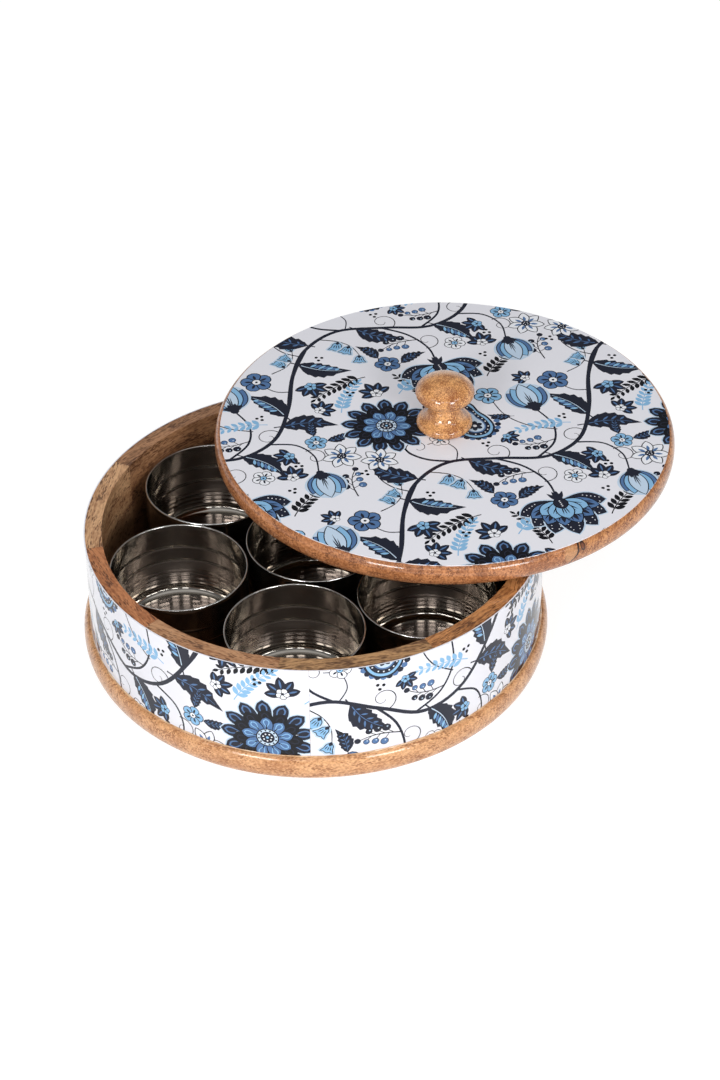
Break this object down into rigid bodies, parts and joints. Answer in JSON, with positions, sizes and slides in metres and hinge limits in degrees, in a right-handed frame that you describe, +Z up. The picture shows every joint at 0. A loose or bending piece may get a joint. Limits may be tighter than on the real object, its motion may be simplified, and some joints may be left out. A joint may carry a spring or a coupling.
{
  "type": "spice box",
  "caption": "Round wooden spice box with loose steel bowls inside and a printed lid with a turned knob, shown with the lid laid open across the rim.",
  "frame": {"origin": "on the axis of the round box, at the flat underside of its base, where it stands on the table", "axes": "+Z up along the axis of the box; +Y to the back, away from the viewer; +X to the right. The open lid lies towards +X and +Y."},
  "size_m": [0.3049, 0.2954, 0.1109],
  "materials": {
    "base_wood": "clear gloss lacquer over golden brown hardwood with dark pores",
    "wall_wood": "satin lacquer over tan hardwood with dark pores",
    "lid_wood": "clear gloss lacquer over golden brown hardwood with dark pores",
    "knob_wood": "clear gloss lacquer over golden brown hardwood with dark pores",
    "print": "blue floral print on white under clear gloss resin",
    "bowl_steel": "mirror polished stainless steel",
    "screw_steel": "zinc plated steel"
  },
  "bodies": {
    "box": {"base_disc": "base_wood", "wall_block_01": "wall_wood", "wall_block_02": "wall_wood", "wall_block_03": "wall_wood", "wall_block_04": "wall_wood", "wall_block_05": "wall_wood", "wall_block_06": "wall_wood", "wall_block_07": "wall_wood", "wall_block_08": "wall_wood", "wall_block_09": "wall_wood", "wall_block_10": "wall_wood", "wall_print": "print"},
    "lid": {"lid_board_wide": "lid_wood", "lid_board_narrow": "lid_wood", "lid_locating_disc": "lid_wood", "lid_print": "print", "knob": "knob_wood", "knob_screw": "screw_steel"},
    "bowl_centre": {"bowl_centre": "bowl_steel"},
    "bowl_front": {"bowl_front": "bowl_steel"},
    "bowl_front_right": {"bowl_front_right": "bowl_steel"},
    "bowl_right": {"bowl_right": "bowl_steel"},
    "bowl_back": {"bowl_back": "bowl_steel"},
    "bowl_back_left": {"bowl_back_left": "bowl_steel"},
    "bowl_left": {"bowl_left": "bowl_steel"}
  },
  "joints": [
    {"name": "lid_lift", "type": "slide", "parent": "box", "child": "lid", "axis": [0, 0, 1], "range_m": [0, 0.15]},
    {"name": "bowl_centre_lift", "type": "slide", "parent": "box", "child": "bowl_centre", "axis": [0, 0, 1], "range_m": [0, 0.075]},
    {"name": "bowl_front_lift", "type": "slide", "parent": "box", "child": "bowl_front", "axis": [0, 0, 1], "range_m": [0, 0.075]},
    {"name": "bowl_front_right_lift", "type": "slide", "parent": "box", "child": "bowl_front_right", "axis": [0, 0, 1], "range_m": [0, 0.075]},
    {"name": "bowl_right_lift", "type": "slide", "parent": "box", "child": "bowl_right", "axis": [0, 0, 1], "range_m": [0, 0.075]},
    {"name": "bowl_back_lift", "type": "slide", "parent": "box", "child": "bowl_back", "axis": [0, 0, 1], "range_m": [0, 0.075]},
    {"name": "bowl_back_left_lift", "type": "slide", "parent": "box", "child": "bowl_back_left", "axis": [0, 0, 1], "range_m": [0, 0.075]},
    {"name": "bowl_left_lift", "type": "slide", "parent": "box", "child": "bowl_left", "axis": [0, 0, 1], "range_m": [0, 0.075]}
  ],
  "couplings": [
    {"joint": "bowl_centre_lift", "follows": "lid_lift", "ratio": 0.5},
    {"joint": "bowl_front_lift", "follows": "lid_lift", "ratio": 0.5},
    {"joint": "bowl_front_right_lift", "follows": "lid_lift", "ratio": 0.5},
    {"joint": "bowl_right_lift", "follows": "lid_lift", "ratio": 0.5},
    {"joint": "bowl_back_lift", "follows": "lid_lift", "ratio": 0.5},
    {"joint": "bowl_back_left_lift", "follows": "lid_lift", "ratio": 0.5}
  ]
}
